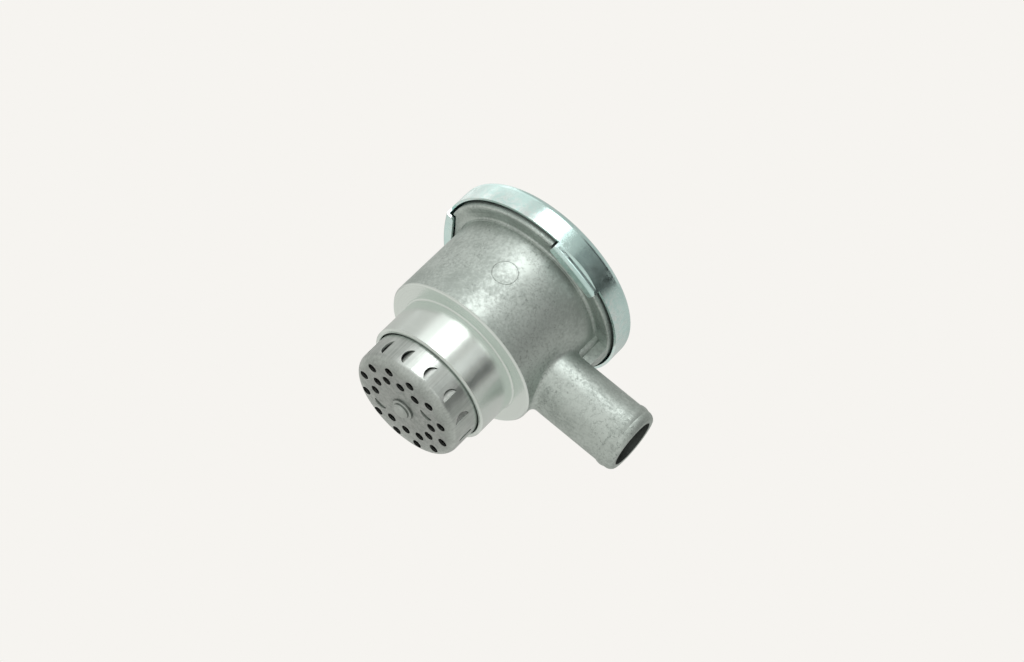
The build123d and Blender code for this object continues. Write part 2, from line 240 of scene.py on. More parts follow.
casting, casting_in, casting_out = new_group(
    "casting_skin",
    {"Vector": None, "Cloud scale": 60.0, "Pore scale": 900.0, "Pore amount": 0.5},
    ("Cloud", "Pores", "Height"),
)
skin_place = casting_in.outputs["Vector"]
cloud_scale = casting_in.outputs["Cloud scale"]
clouds = noise_value(casting, skin_place, cloud_scale, detail=5.0, roughness=0.62)
grit = noise_value(casting, skin_place, GRIT_SCALE, detail=3.0, roughness=0.7)
cloud_sum = math_node(casting, "MULTIPLY_ADD", grit, GRIT_SHARE, clouds)
link(casting, ramp(casting, cloud_sum, *CLOUD_CUT), casting_out.inputs["Cloud"])
print("group:", casting.name)

# %% Casting skin group: pores and wisps
PORE_SWIRL = 1.6
PORE_CUT = (0.555, 0.71)
PORE_PATCH_SCALE = 85.0
PORE_PATCH_CUT = (0.42, 0.62)
WISP_SCALE = 330.0
WISP_PATCH_SCALE = 48.0
WISP_PATCH_CUT = (0.47, 0.62)
WISP_GAP_SCALE = 800.0
WISP_GAP_CUT = (0.40, 0.58)
WISP_HALF_WIDTH = 0.024
WISP_CORE = 0.004
WISP_STRENGTH = 0.62

pore_noise = noise_value(
    casting, skin_place, casting_in.outputs["Pore scale"],
    detail=3.0, roughness=0.7, swirl=PORE_SWIRL,
)
pore_patch = noise_value(casting, skin_place, PORE_PATCH_SCALE)
pore_patch = ramp(casting, pore_patch, *PORE_PATCH_CUT)
pore_mask = math_node(casting, "MULTIPLY", ramp(casting, pore_noise, *PORE_CUT), pore_patch)

wisp_noise = noise_value(casting, skin_place, WISP_SCALE, detail=4.0, roughness=0.62)
wisp_side = math_node(casting, "ABSOLUTE", math_node(casting, "SUBTRACT", wisp_noise, 0.5))
wisp_line = ramp(casting, wisp_side, WISP_HALF_WIDTH, WISP_CORE, 0.0, WISP_STRENGTH)
wisp_patch = noise_value(casting, skin_place, WISP_PATCH_SCALE)
wisps = math_node(casting, "MULTIPLY", wisp_line, ramp(casting, wisp_patch, *WISP_PATCH_CUT))
wisp_gaps = noise_value(casting, skin_place, WISP_GAP_SCALE, detail=3.0, roughness=0.7)
wisps = math_node(casting, "MULTIPLY", wisps, ramp(casting, wisp_gaps, *WISP_GAP_CUT))

pore_mask = math_node(casting, "MAXIMUM", pore_mask, wisps)
pore_mask = math_node(
    casting, "MULTIPLY", pore_mask, casting_in.outputs["Pore amount"], clamp=True
)
link(casting, pore_mask, casting_out.inputs["Pores"])
print("pores and wisps in:", casting.name)

# %% Casting skin group: height
PEEL_SCALE = 650.0
SWELL_SCALE = 120.0
SWELL_SHARE = 1.5

peel = noise_value(casting, skin_place, PEEL_SCALE, detail=3.0, roughness=0.6)
swell = noise_value(casting, skin_place, SWELL_SCALE)
skin_height = math_node(casting, "MULTIPLY_ADD", swell, SWELL_SHARE, peel)
skin_height = math_node(casting, "SUBTRACT", skin_height, pore_mask)
link(casting, skin_height, casting_out.inputs["Height"])
print("height in:", casting.name)

# %% [markdown]
# ## Turning marks
# The spigot and its shoulder are cut on a lathe. The tool leaves a fine thread of rings round
# the axis: at one height on the cylinder, at one radius on the flat. Real grooves would be
# thousands of faces for the same look. Radius less height is one number that changes across
# both surfaces, so a one-dimensional noise of that number draws the rings on both.

# %% Turning marks group
RINGS_CUT = (0.3, 0.7)

turning, turning_in, turning_out = new_group(
    "turning_marks", {"Vector": None, "Rings per metre": 4000.0}, ("Rings", "Height")
)
turned_x, turned_y, turned_z = split_place(turning, turning_in.outputs["Vector"])
turned_radius = hypotenuse(turning, turned_x, turned_y)
across_rings = math_node(turning, "SUBTRACT", turned_radius, turned_z)
ring_noise = add_node(
    turning, "ShaderNodeTexNoise", noise_dimensions="1D", Detail=4.0, Roughness=0.7
)
link(turning, across_rings, ring_noise.inputs["W"])
link(turning, turning_in.outputs["Rings per metre"], ring_noise.inputs["Scale"])
ring_height = ring_noise.outputs["Fac"]
link(turning, ramp(turning, ring_height, *RINGS_CUT), turning_out.inputs["Rings"])
link(turning, ring_height, turning_out.inputs["Height"])
print("group:", turning.name)

# %% [markdown]
# ## Draw lines
# A cup pressed from sheet slides along the die, and the die leaves fine lines along the way it
# moved, which is up and down the wall. The wall could be unwrapped and the lines drawn on the
# flat, but a noise drawn out along the axis needs no unwrapping: it gives streaks on the wall,
# and on the flat of the cup it turns into an even grain, as the sheet's own.

# %% Draw lines group
DRAWN_OUT = (1.0, 1.0, 0.03)
LINES_CUT = (0.34, 0.66)

drawing, drawing_in, drawing_out = new_group(
    "draw_lines", {"Vector": None, "Lines per metre": 1200.0}, ("Lines", "Height")
)
drawn_place = add_node(drawing, "ShaderNodeMapping", Scale=DRAWN_OUT)
link(drawing, drawing_in.outputs["Vector"], drawn_place.inputs["Vector"])
line_noise = noise_value(
    drawing, drawn_place.outputs[0], drawing_in.outputs["Lines per metre"],
    detail=4.0, roughness=0.65,
)
link(drawing, ramp(drawing, line_noise, *LINES_CUT), drawing_out.inputs["Lines"])
link(drawing, line_noise, drawing_out.inputs["Height"])
print("group:", drawing.name)

# %% [markdown]
# ## Scratches, wear and painted edge highlight
# Handling leaves thin scratches on plated sheet, and rubs the plating on edges. Single
# scratches could be painted where they are wanted, but a noise drawn out thirty to forty
# times in one direction gives plenty of them when only its peaks are kept. A second noise
# keeps them in patches. The mesh's own pointiness finds the edges; the lighter colour there is
# partly rubbed plating and partly a painted highlight.

# %% Scratches group
SCRATCH_SCALE = 55.0
SCRATCH_CUT = (0.66, 0.74)
SCRATCH_PATCH_SCALE = 70.0
SCRATCH_PATCH_CUT = (0.5, 0.7)
SCRATCH_STRETCH = (1.0, 30.0, 40.0)

scratches, scratches_in, scratches_out = new_group(
    "scratches", {"Vector": None, "Angle": 0.0, "Amount": 0.5}, ("Mask",)
)
scratch_place = scratches_in.outputs["Vector"]
turned_place = add_node(scratches, "ShaderNodeVectorRotate", rotation_type="Z_AXIS")
link(scratches, scratch_place, turned_place.inputs["Vector"])
link(scratches, scratches_in.outputs["Angle"], turned_place.inputs["Angle"])
stretched = add_node(scratches, "ShaderNodeMapping", Scale=SCRATCH_STRETCH)
link(scratches, turned_place.outputs[0], stretched.inputs["Vector"])
scratch_line = noise_value(scratches, stretched.outputs[0], SCRATCH_SCALE, roughness=0.4)
scratch_line = ramp(scratches, scratch_line, *SCRATCH_CUT)
scratch_patch = noise_value(scratches, scratch_place, SCRATCH_PATCH_SCALE)
scratch_patch = ramp(scratches, scratch_patch, *SCRATCH_PATCH_CUT)
scratch_mask = math_node(scratches, "MULTIPLY", scratch_line, scratch_patch)
scratch_mask = math_node(
    scratches, "MULTIPLY", scratch_mask, scratches_in.outputs["Amount"], clamp=True
)
link(scratches, scratch_mask, scratches_out.inputs["Mask"])
print("group:", scratches.name)

# %% Edge wear and painted highlight group
EDGE_CUT = (0.52, 0.60)
EDGE_BREAK_SCALE = 500.0
EDGE_BREAK_CUT = (0.35, 0.65)

wear_and_edge_light, wear_light_in, wear_light_out = new_group("edge_wear_and_light", {"Vector": None, "Amount": 0.5}, ("Mask",))
geometry = add_node(wear_and_edge_light, "ShaderNodeNewGeometry")
# The edges found here are made lighter: partly rubbed, partly a painted highlight.
edge = ramp(wear_and_edge_light, geometry.outputs["Pointiness"], *EDGE_CUT)
edge_breaks = noise_value(
    wear_and_edge_light, wear_light_in.outputs["Vector"], EDGE_BREAK_SCALE, detail=4.0, roughness=0.7
)
edge_mask = math_node(wear_and_edge_light, "MULTIPLY", edge, ramp(wear_and_edge_light, edge_breaks, *EDGE_BREAK_CUT))
edge_mask = math_node(wear_and_edge_light, "MULTIPLY", edge_mask, wear_light_in.outputs["Amount"])
link(wear_and_edge_light, edge_mask, wear_light_out.inputs["Mask"])
print("group:", wear_and_edge_light.name)

# %% [markdown]
# ## Small tools for finishes
# A finish is one material: a Principled shader and the nodes that feed it. It could take its
# coordinates from an unwrapped mesh, but the meshes are in frame metres already, so object
# coordinates give every noise its true scale. The helpers start such a material, place a
# group in it, mix two colours or numbers, and turn a height into a bump.


# %% Helpers for finishes
def new_finish(name, roughness=0.4, metallic=1.0):
    """A material with its Principled shader, and a Texture Coordinate node in frame metres."""
    material = bpy.data.materials.new(name)
    material.use_nodes = True
    tree = material.node_tree
    shader = tree.nodes["Principled BSDF"]
    shader.inputs["Roughness"].default_value = roughness
    shader.inputs["Metallic"].default_value = metallic
    return material, tree, shader, add_node(tree, "ShaderNodeTexCoord").outputs["Object"]


def use_group(tree, group, vector, **values):
    """Places a node group, feeds it the coordinates and sets its named inputs."""
    node = add_node(tree, "ShaderNodeGroup", node_tree=group)
    link(tree, vector, node.inputs["Vector"])
    for name, value in values.items():
        node.inputs[name.replace("_", " ")].default_value = value
    return node


def mix_color(tree, factor, first, second):
    """Mixes two colours, each a socket or an (r, g, b) tuple, and gives the result socket."""
    node = add_node(tree, "ShaderNodeMix", data_type="RGBA")
    link(tree, factor, node.inputs["Factor"])
    for socket, color in ((node.inputs[6], first), (node.inputs[7], second)):
        if isinstance(color, tuple):
            socket.default_value = (*color, 1.0)
        else:
            link(tree, color, socket)
    return node.outputs[2]


def mix_value(tree, factor, first, second):
    """Mixes two numbers, each a socket or a plain number, and gives the result socket."""
    node = add_node(tree, "ShaderNodeMix")
    link(tree, factor, node.inputs["Factor"])
    feed(tree, first, node.inputs[2])
    feed(tree, second, node.inputs[3])
    return node.outputs[0]


def bump(tree, shader, height, strength, distance):
    """Feeds a height into the shader's normal through a Bump node."""
    node = add_node(tree, "ShaderNodeBump", Strength=strength, Distance=distance)
    link(tree, height, node.inputs["Height"])
    link(tree, node.outputs["Normal"], shader.inputs["Normal"])


def finish_node(name, material):
    """Gives a CAD node one finish."""
    mesh = nodes[name].data
    mesh.materials.clear()
    mesh.materials.append(material)
    print(name, "finish:", material.name)


print("finish helpers ready")

# %% [markdown]
# ## Neck: cast above, turned below
# One casting carries two finishes. Above the seat it is as cast; the spigot, the shoulder and
# its bevel are turned bright. Faces could be given two materials by hand, but the height
# along the axis tells the two apart as well, so one mask by height mixes colour, roughness
# and bump inside a single material. Inside the port's bore the cast surface stays dull, and
# its colour is darkened: painted shade.

# %% Neck finish: where each finish is, and the painted shade in the bore
CAST_FROM = 0.9 * MM
TURNED_TO = 0.7 * MM
BORE_SOFT_EDGE = 0.5 * MM
BORE_FROM = 28 * MM
BORE_TO = 33 * MM
mounts = {mount["name"]: mount for mount in frame["record"]["mounts"]}
port_bore = mounts["port_bore"]
port_height = port_bore["pos_m"][2]
bore_radius = port_bore["dims"]["r_mm"] * MM

neck_finish, tree, shader, place = new_finish("neck_aluminium")
place_x, place_y, place_z = split_place(tree, place)
turned_mask = ramp(tree, place_z, CAST_FROM, TURNED_TO)
over_port_axis = math_node(tree, "SUBTRACT", place_z, port_height)
from_port_axis = hypotenuse(tree, over_port_axis, place_y)
# Painted shade inside the port's bore: this mask darkens the colour there.
bore_shade = ramp(tree, from_port_axis, bore_radius + BORE_SOFT_EDGE, bore_radius)
bore_shade = math_node(tree, "MULTIPLY", bore_shade, ramp(tree, place_x, BORE_FROM, BORE_TO))
print("port bore (mm): radius", round(bore_radius / MM, 2), "at", round(port_height / MM, 2))

# %% Neck finish: colour, roughness and bump
CAST_LIGHT = (0.56, 0.62, 0.585)
CAST_DARK = (0.42, 0.47, 0.44)
CAST_PORE = (0.13, 0.15, 0.14)
BORE_SHADE = (0.16, 0.18, 0.17)
TURNED_LIGHT = (0.80, 0.87, 0.83)
TURNED_DARK = (0.69, 0.75, 0.715)
CAST_ROUGHNESS = (0.58, 0.44)
TURNED_ROUGHNESS = 0.24

skin = use_group(tree, casting, place, Cloud_scale=55.0, Pore_scale=1500.0, Pore_amount=1.0)
rings = use_group(tree, turning, place, Rings_per_metre=5200.0)
cast_color = mix_color(tree, skin.outputs["Cloud"], CAST_DARK, CAST_LIGHT)
cast_color = mix_color(tree, skin.outputs["Pores"], cast_color, CAST_PORE)
# Painted shade: the colour inside the bore is darkened.
cast_color = mix_color(tree, bore_shade, cast_color, BORE_SHADE)
turned_color = mix_color(tree, rings.outputs["Rings"], TURNED_DARK, TURNED_LIGHT)
neck_color = mix_color(tree, turned_mask, cast_color, turned_color)
link(tree, neck_color, shader.inputs["Base Color"])
cast_rough = mix_value(tree, skin.outputs["Cloud"], *CAST_ROUGHNESS)
neck_rough = mix_value(tree, turned_mask, cast_rough, TURNED_ROUGHNESS)
link(tree, neck_rough, shader.inputs["Roughness"])
neck_height = mix_value(tree, turned_mask, skin.outputs["Height"], rings.outputs["Height"])
bump(tree, shader, neck_height, strength=0.35, distance=0.05 * MM)
finish_node("neck_body", neck_finish)

# %% [markdown]
# ## Cap: bright zinc over pressed sheet
# Blue-passivated zinc is a mirror with a faint green-blue cast. A plain mirror would look
# like glass, because real plate is never even: it is slightly wavy from the press tool, dull
# in hazy spots, and has fine scratches and rubbed edges. Each of these is one mask here; the
# lighter rubbed edges are also a painted highlight.

# %% Cap finish: masks
PATCH_SCALE = 90.0
PATCH_CUT = (0.35, 0.65)
HAZE_SCALE = 420.0
HAZE_CUT = (0.38, 0.7)
HAZE_AREA_SCALE = 45.0
HAZE_AREA_CUT = (0.42, 0.62)

zinc_finish, tree, shader, place = new_finish("zinc_plate")
patch = ramp(tree, noise_value(tree, place, PATCH_SCALE, detail=3.0), *PATCH_CUT)
scratch = use_group(tree, scratches, place, Angle=0.6, Amount=0.9)
scuff = use_group(tree, scratches, place, Angle=2.2, Amount=0.7)
marks = math_node(tree, "MAXIMUM", scratch.outputs["Mask"], scuff.outputs["Mask"])
haze_spots = noise_value(tree, place, HAZE_SCALE, detail=3.0, roughness=0.6)
haze_area = ramp(tree, noise_value(tree, place, HAZE_AREA_SCALE), *HAZE_AREA_CUT)
haze = math_node(tree, "MULTIPLY", ramp(tree, haze_spots, *HAZE_CUT), haze_area)
rub_and_edge_light = use_group(tree, wear_and_edge_light, place, Amount=0.6)
print("masks for:", zinc_finish.name)

# %% Cap finish: colour, roughness and bump
ZINC_LIGHT = (0.68, 0.88, 0.85)
ZINC_DARK = (0.58, 0.78, 0.75)
ZINC_WORN_AND_LIT = (0.88, 0.88, 0.86)
ZINC_ROUGHNESS = (0.24, 0.16)
HAZE_ROUGHNESS = 0.46
MARK_ROUGHNESS = 0.45
PRESS_WAVE_SCALE = 140.0
DRAW_SHARE = 0.12
MARK_DEPTH = -0.25

zinc_color = mix_color(tree, patch, ZINC_DARK, ZINC_LIGHT)
zinc_color = mix_color(tree, marks, zinc_color, ZINC_WORN_AND_LIT)
# Rubbed edges, lighter in colour: partly wear, partly a painted highlight.
zinc_color = mix_color(tree, rub_and_edge_light.outputs["Mask"], zinc_color, ZINC_WORN_AND_LIT)
link(tree, zinc_color, shader.inputs["Base Color"])
zinc_rough = mix_value(tree, patch, *ZINC_ROUGHNESS)
zinc_rough = mix_value(tree, haze, zinc_rough, HAZE_ROUGHNESS)
zinc_rough = mix_value(tree, marks, zinc_rough, MARK_ROUGHNESS)
link(tree, zinc_rough, shader.inputs["Roughness"])
drawn = use_group(tree, drawing, place, Lines_per_metre=700.0)
press_waves = noise_value(tree, place, PRESS_WAVE_SCALE)
zinc_height = math_node(tree, "MULTIPLY_ADD", drawn.outputs["Height"], DRAW_SHARE, press_waves)
zinc_height = math_node(tree, "MULTIPLY_ADD", marks, MARK_DEPTH, zinc_height)
bump(tree, shader, zinc_height, strength=0.25, distance=0.12 * MM)
for name in ("filler_cap", "seal_plate", "cap_rivet"):
    finish_node(name, zinc_finish)

# %% [markdown]
# ## Cage: satin pressed steel
# The cage is a cup drawn from sheet, so its wall carries draw lines. Little light gets into
# the cuts and behind the flaps, so shade is painted there, in a near-black colour, together
# with a rougher surface. Such shade could also be found with an ambient occlusion node, but
# how deep a point lies under the cup's outer skin is one short sum: the cup is a cylinder
# with a rounded corner, so the depth is the corner's radius less the distance from the line
# at the corner's centre. That depth drives the painted shade, whatever the shape of the cut.


# %% Helpers for depth and painted shadow
SHADOW_EDGE = 0.05 * MM
SHADOW_FULL_WITHIN = 0.1 * MM
SHADOW_STRENGTH = 0.4


def axis_distance(tree, vector):
    """Distance from the Z axis."""
    across_x, across_y, _ = split_place(tree, vector)
    return hypotenuse(tree, across_x, across_y)


def cup_depth(tree, vector, radius, corner, face_level):
    """Depth under the skin of a cup that is round about Z, with a rounded bottom corner."""
    level = split_place(tree, vector)[2]
    outward = math_node(tree, "SUBTRACT", axis_distance(tree, vector), radius - corner)
    outward = math_node(tree, "MAXIMUM", outward, 0.0)
    below = math_node(tree, "SUBTRACT", face_level + corner, level)
    below = math_node(tree, "MAXIMUM", below, 0.0)
    return math_node(tree, "SUBTRACT", corner, hypotenuse(tree, outward, below))


def rim_shadow(tree, distance, radius, reach):
    """Painted shadow just outside a round edge, thinning out over its reach."""
    outside = ramp(tree, distance, radius - SHADOW_EDGE, radius)
    far, full = radius + reach, radius + SHADOW_FULL_WITHIN
    near = ramp(tree, distance, far, full, 0.0, SHADOW_STRENGTH)
    return math_node(tree, "MULTIPLY", outside, near)


print("depth and grime helpers ready")

# %% [markdown]
# ## Where the cage gets painted shade and where it is bright
# The stud in the middle of the cage's face has a stepped head, and a painted shadow rings
# the head and its step. The head stands proud of the cup, where the depth is below zero,
# and is rubbed brighter there.

# %% Cage finish: masks
CAGE_RADIUS = 22.9 * MM
CAGE_CORNER = 3.5 * MM
SHADE_FROM = 0.45 * MM
SHADE_TO = 1.1 * MM
SHADE_STRENGTH = 0.92
# Radius and reach of the painted shadow round the stud's head and round its step.
STUD_HEAD = (4.3 * MM, 0.9 * MM)
STUD_STEP = (3.1 * MM, 0.6 * MM)
PROUD_FROM = -0.2 * MM
PROUD_TO = -0.8 * MM
PROUD_STRENGTH = 0.6
STAIN_SCALE = 130.0
STAIN_CUT = (0.35, 0.7)

cage_finish, tree, shader, place = new_finish("cage_steel")
cage_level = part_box("strainer_cage")[0].z
depth = cup_depth(tree, place, CAGE_RADIUS, CAGE_CORNER, cage_level)
# Painted shade: the colour goes near-black deep under the cup's skin.
cage_shade = ramp(tree, depth, SHADE_FROM, SHADE_TO, 0.0, SHADE_STRENGTH)
from_middle = axis_distance(tree, place)
# Painted shadow in a ring round the stud's head and round its step.
for edge_radius, shadow_reach in (STUD_HEAD, STUD_STEP):
    painted_shadow = rim_shadow(tree, from_middle, edge_radius, shadow_reach)
    cage_shade = math_node(tree, "MAXIMUM", cage_shade, painted_shadow)
proud = ramp(tree, depth, PROUD_FROM, PROUD_TO, 0.0, PROUD_STRENGTH)
stain = noise_value(tree, place, STAIN_SCALE, detail=4.0, roughness=0.6)
stain = ramp(tree, stain, *STAIN_CUT)
print("cage face at (mm):", round(cage_level / MM, 2))

# %% Cage finish: colour, roughness and bump
CAGE_LIGHT = (0.53, 0.575, 0.545)
CAGE_DARK = (0.42, 0.46, 0.435)
CAGE_LINE = (0.74, 0.79, 0.76)
CAGE_WORN_AND_LIT = (0.8, 0.82, 0.8)
CAGE_SHADE = (0.035, 0.04, 0.037)
LINE_STRENGTH = 0.35
CAGE_ROUGHNESS = (0.38, 0.29)
SHADE_ROUGHNESS = 0.6

draw = use_group(tree, drawing, place, Lines_per_metre=1500.0)
rub_and_edge_light = use_group(tree, wear_and_edge_light, place, Amount=0.5)
streak = math_node(tree, "MULTIPLY", draw.outputs["Lines"], LINE_STRENGTH)
cage_color = mix_color(tree, stain, CAGE_DARK, CAGE_LIGHT)
cage_color = mix_color(tree, streak, cage_color, CAGE_LINE)
cage_color = mix_color(tree, proud, cage_color, CAGE_LINE)
# Rubbed edges, lighter in colour: partly wear, partly a painted highlight.
cage_color = mix_color(tree, rub_and_edge_light.outputs["Mask"], cage_color, CAGE_WORN_AND_LIT)
# The painted shade and the painted shadow darken the colour here.
cage_color = mix_color(tree, cage_shade, cage_color, CAGE_SHADE)
link(tree, cage_color, shader.inputs["Base Color"])
cage_rough = mix_value(tree, draw.outputs["Lines"], *CAGE_ROUGHNESS)
cage_rough = mix_value(tree, cage_shade, cage_rough, SHADE_ROUGHNESS)
link(tree, cage_rough, shader.inputs["Roughness"])
bump(tree, shader, draw.outputs["Height"], strength=0.15, distance=0.03 * MM)
for name in ("strainer_cage", "pack_plate", "cage_washer", "cage_stud"):
    finish_node(name, cage_finish)

# %% [markdown]
# ## Rubber, spring steel and wire
# The gasket is matt nitrile rubber with a little dust in its texture. The snap ring and the
# wave spring are dark oiled steel, and the wire in the pack is darker still. Little of them
# is seen, so one noise each is enough: it mixes two colours, and roughness or bump with them.

# %% Rubber finish
RUBBER_CLEAN = (0.018, 0.018, 0.019)
RUBBER_DUSTY = (0.06, 0.06, 0.058)
DUST_SCALE = 400.0
DUST_CUT = (0.5, 0.8)

rubber_finish, tree, shader, place = new_finish("gasket_rubber", roughness=0.6, metallic=0.0)
dust = noise_value(tree, place, DUST_SCALE, detail=4.0, roughness=0.7)
dust = ramp(tree, dust, *DUST_CUT)
rubber_color = mix_color(tree, dust, RUBBER_CLEAN, RUBBER_DUSTY)
link(tree, rubber_color, shader.inputs["Base Color"])
bump(tree, shader, dust, strength=0.2, distance=0.03 * MM)
finish_node("cap_gasket", rubber_finish)

# %% Spring steel finish
SPRING_DARK = (0.12, 0.12, 0.13)
SPRING_LIGHT = (0.24, 0.24, 0.25)
SPRING_ROUGHNESS = (0.22, 0.4)
OIL_SCALE = 260.0
OIL_CUT = (0.35, 0.65)

spring_finish, tree, shader, place = new_finish("spring_steel")
oil = ramp(tree, noise_value(tree, place, OIL_SCALE, detail=3.0), *OIL_CUT)
link(tree, mix_color(tree, oil, SPRING_DARK, SPRING_LIGHT), shader.inputs["Base Color"])
link(tree, mix_value(tree, oil, *SPRING_ROUGHNESS), shader.inputs["Roughness"])
for name in ("cap_spring", "snap_ring"):
    finish_node(name, spring_finish)

# %% Wire finish
WIRE_DARK = (0.05, 0.05, 0.048)
WIRE_LIGHT = (0.16, 0.16, 0.15)
TARNISH_SCALE = 300.0
TARNISH_CUT = (0.35, 0.65)

wire_finish, tree, shader, place = new_finish("pack_wire")
tarnish = ramp(tree, noise_value(tree, place, TARNISH_SCALE, detail=3.0), *TARNISH_CUT)
link(tree, mix_color(tree, tarnish, WIRE_DARK, WIRE_LIGHT), shader.inputs["Base Color"])
print("finish:", wire_finish.name)

# %% [markdown]
# ## Wire pack
# The pack that stops oil mist is knitted wire pressed into a puck. It could be knitted stitch
# by stitch, or grown as hair, but only a tangle behind small holes is ever seen. A loop of
# wire that waves in and out while it runs round is one course of the knit, and many such
# loops on mixed levels read as the pressed pack. Each loop is a thin tube of quads, which
# needs two helpers: one for a closed tube, one for a new piece.


# %% Helpers for tubes and pieces
UPRIGHT = 1e-6


def closed_tube(mesh_builder, points, radius, sides):
    """A closed tube of that radius through the points; X is its side where they go upright."""
    sections = []
    count = len(points)
    for index, point in enumerate(points):
        along = (points[(index + 1) % count] - points[index - 1]).normalized()
        side = along.cross(Vector((0, 0, 1)))
        side = side.normalized() if side.length > UPRIGHT else Vector((1, 0, 0))
        up = side.cross(along)
        sections.append([
            mesh_builder.verts.new(point + radius * (side * cos(turn) + up * sin(turn)))
            for turn in (2 * pi * step / sides for step in range(sides))
        ])
    for index in range(count):
        first, second = sections[index], sections[(index + 1) % count]
        for step in range(sides):
            after = (step + 1) % sides
            mesh_builder.faces.new((first[step], first[after], second[after], second[step]))


def new_piece(name, mesh_builder, finish, smooth=True):
    """Turns a bmesh into an object with that finish."""
    mesh = bpy.data.meshes.new(name)
    mesh_builder.to_mesh(mesh)
    mesh_builder.free()
    mesh.materials.append(finish)
    if smooth:
        mesh.shade_smooth()
    piece = bpy.data.objects.new(name, mesh)
    scene.collection.objects.link(piece)
    print(name, "faces:", len(mesh.polygons))
    return piece


print("tube and piece helpers ready")

# %% Points of one course
COURSES = 150
COURSE_STEPS = 110
COURSE_TURN = 2.4
GOLDEN_SHARE = 0.618034
RIM_ROOM = 0.5 * MM
FACE_ROOM = 0.4 * MM
WAVE_ROOM = 0.2 * MM
INNER_REACH = 0.16
REACH_SPREAD = 0.80
FEWEST_WAVES = 9
WAVE_STEP = 7
WAVE_CHOICES = 13
MOST_SWING = 2.4 * MM
SWING_SHARE = 0.3
MOST_LIFT = 1.0 * MM
LIFT_MORE_WAVES = 2
LIFT_OFFSET = 1.7

pack_low, pack_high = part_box("wire_pack")
pack_reach = pack_high.x - RIM_ROOM
pack_depth = pack_high.z - pack_low.z - 2 * FACE_ROOM


def course_points(course):
    """One waving loop; golden shares mix the levels, and a square root fills the disc evenly."""
    level = pack_low.z + FACE_ROOM + pack_depth * ((course * GOLDEN_SHARE) % 1.0)
    reach = pack_reach * (INNER_REACH + REACH_SPREAD * ((course + 0.5) / COURSES) ** 0.5)
    waves = FEWEST_WAVES + (course * WAVE_STEP) % WAVE_CHOICES
    swing = min(MOST_SWING, reach * SWING_SHARE, pack_reach - reach)
    lift = min(MOST_LIFT, level - pack_low.z - WAVE_ROOM, pack_high.z - level - WAVE_ROOM)
    offset = course * COURSE_TURN
    points = []
    for step in range(COURSE_STEPS):
        turn = 2 * pi * step / COURSE_STEPS
        distance = reach + swing * sin(waves * turn + offset)
        rise = cos((waves + LIFT_MORE_WAVES) * turn + LIFT_OFFSET * offset)
        points.append(Vector((distance * cos(turn), distance * sin(turn), level + lift * rise)))
    return points


print("pack (mm): reach", round(pack_reach / MM, 2), "depth", round(pack_depth / MM, 2))

# %% Knit the wire pack
WIRE_RADIUS = 0.13 * MM
WIRE_SIDES = 4

knit = bmesh.new()
for course in range(COURSES):
    closed_tube(knit, course_points(course), WIRE_RADIUS, WIRE_SIDES)
knitted_wire = new_piece("knitted_wire", knit, wire_finish)
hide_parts("wire_pack")
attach(knitted_wire, "neck")

# %% [markdown]
# ## A plain cast ring
# Castings of this kind carry a small raised ring on the barrel, where a maker's sign could
# stand. It is left empty here. The ring could be a torus bent by a modifier, but the barrel is
# round, so its points follow from two angles. It is a thin tube, half sunk in the wall, so
# that only a low bead shows.

# %% Cast ring on the barrel
BARREL_RADIUS = 31.8 * MM
RING_AZIMUTH = radians(-91.9)
RING_LEVEL = 20.7 * MM
RING_RADIUS = 4.7 * MM
RING_STEPS = 72
BEAD_RADIUS = 0.16 * MM
BEAD_SIDES = 8

ring_points = []
for step in range(RING_STEPS):
    turn = 2 * pi * step / RING_STEPS
    azimuth = RING_AZIMUTH + RING_RADIUS * cos(turn) / BARREL_RADIUS
    ring_points.append(Vector((
        BARREL_RADIUS * cos(azimuth),
        BARREL_RADIUS * sin(azimuth),
        RING_LEVEL + RING_RADIUS * sin(turn),
    )))
ring_builder = bmesh.new()
closed_tube(ring_builder, ring_points, BEAD_RADIUS, BEAD_SIDES)
cast_ring = new_piece("cast_ring", ring_builder, neck_finish)
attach(cast_ring, "neck")

# %% [markdown]
# ## Floor
# The floor is pale and plain. Seen from above it shows the part's shadow; from below it
# isn't there, because this camera looks up past it, so its back face is transparent, and so
# is the whole floor to shadow rays, or the lamps below could not reach the part. Lamps alone
# would leave it grey far out, so it also glows in the paper's own colour: partly near the
# part, where the shadow has to show, and fully at a distance.

# %% Floor material
PAPER = (0.9216, 0.9047, 0.8714)
GLOW_NEAR = 0.35
GLOW_FAR = 1.8
GLOW_NEAR_SHARE = 0.6
MIRRORED_GLOW_LOSS = -0.3


def mix_shaders(tree, factor, first, second):
    """Mixes two shaders by a factor and gives the result socket."""
    node = add_node(tree, "ShaderNodeMixShader")
    link(tree, factor, node.inputs["Fac"])
    link(tree, first, node.inputs[1])
    link(tree, second, node.inputs[2])
    return node.outputs[0]


floor_finish = bpy.data.materials.new("floor_paper")
floor_finish.use_nodes = True
tree = floor_finish.node_tree
tree.nodes.clear()
path = add_node(tree, "ShaderNodeLightPath").outputs
spot = add_node(tree, "ShaderNodeNewGeometry").outputs
from_part = add_node(tree, "ShaderNodeVectorMath", operation="LENGTH")
link(tree, spot["Position"], from_part.inputs[0])
glow_share = ramp(tree, from_part.outputs["Value"], GLOW_NEAR, GLOW_FAR, GLOW_NEAR_SHARE, 1.0)
floor_seen = math_node(tree, "MAXIMUM", path["Is Camera Ray"], path["Is Glossy Ray"])
glow_share = math_node(tree, "MULTIPLY", floor_seen, glow_share)
floor_paper = add_node(tree, "ShaderNodeBsdfDiffuse", Color=(*PAPER, 1.0))
floor_glow = add_node(tree, "ShaderNodeEmission", Color=(*PAPER, 1.0))
glow_strength = math_node(tree, "MULTIPLY_ADD", path["Is Glossy Ray"], MIRRORED_GLOW_LOSS, 1.0)
link(tree, glow_strength, floor_glow.inputs["Strength"])
